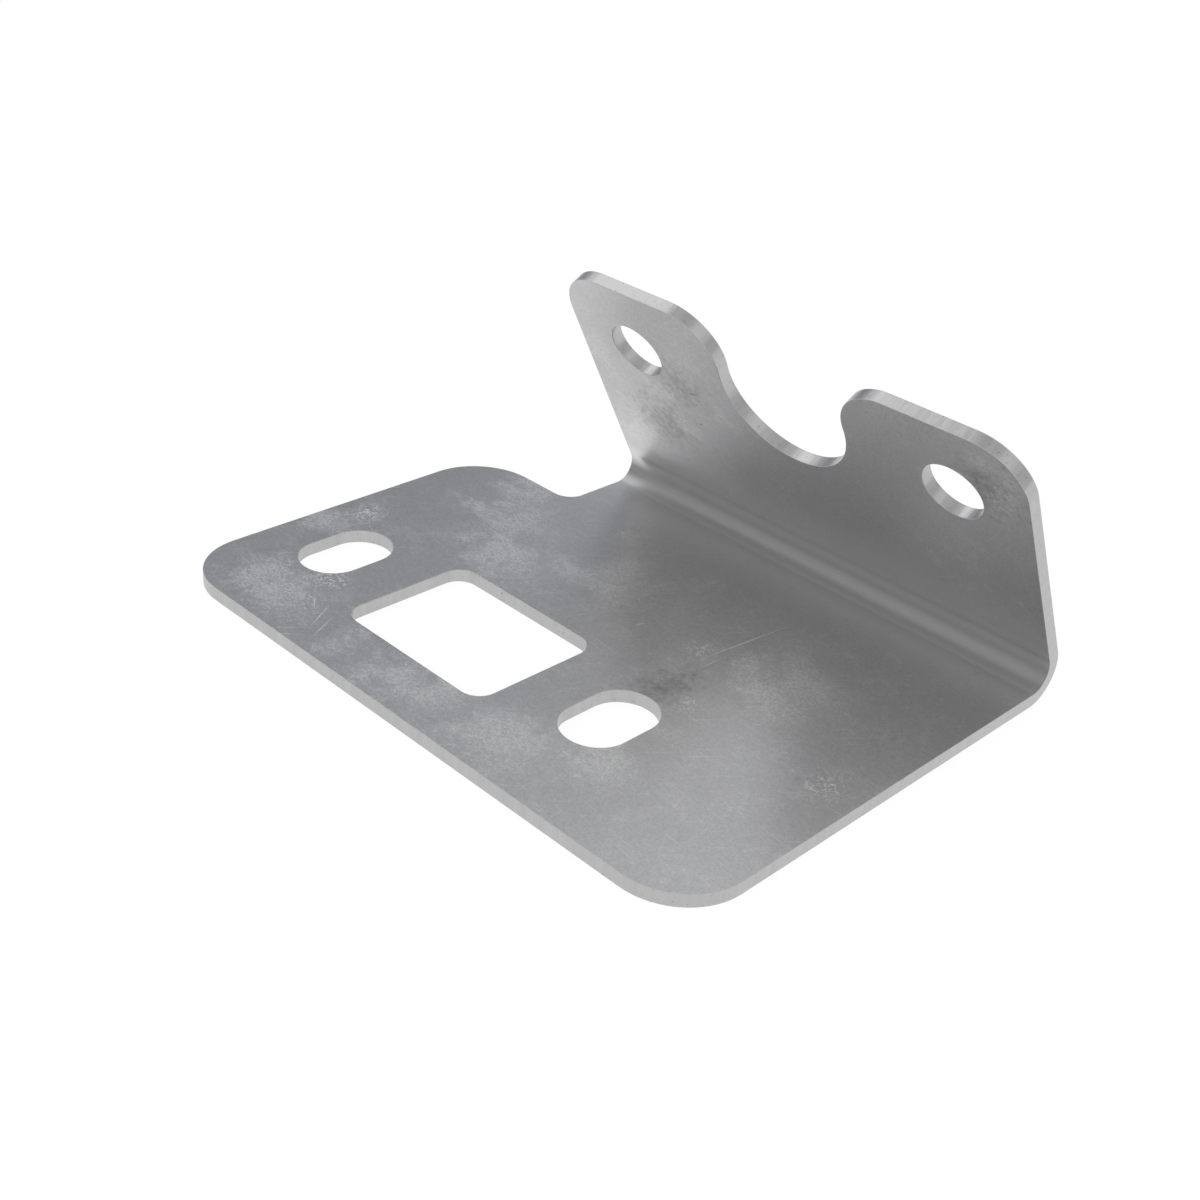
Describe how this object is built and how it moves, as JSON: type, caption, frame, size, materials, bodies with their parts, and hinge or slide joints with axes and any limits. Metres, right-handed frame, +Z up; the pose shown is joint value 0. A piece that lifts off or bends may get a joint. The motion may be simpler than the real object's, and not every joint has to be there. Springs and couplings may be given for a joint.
{
  "type": "stamped metal bracket",
  "caption": "Folded sheet-steel bracket: slotted base plate with a rectangular window, under a flange that leans back over it, with holed lugs either side of a round notch.",
  "frame": {"origin": "on the underside of the base plate, at the centre of the window and of the pair of slots", "axes": "+X along the fold, away from the ear; +Y from the front edge towards the fold; +Z up out of the base plate, the side the flange stands on"},
  "size_m": [0.1, 0.0763, 0.0433],
  "materials": {
    "steel_sheet": "bare mill-finish steel sheet: satin, with cloudy pale smudges and fine scratches; the cut edges are paler and slightly warm"
  },
  "bodies": {
    "root": {"bracket": "steel_sheet"}
  },
  "joints": []
}
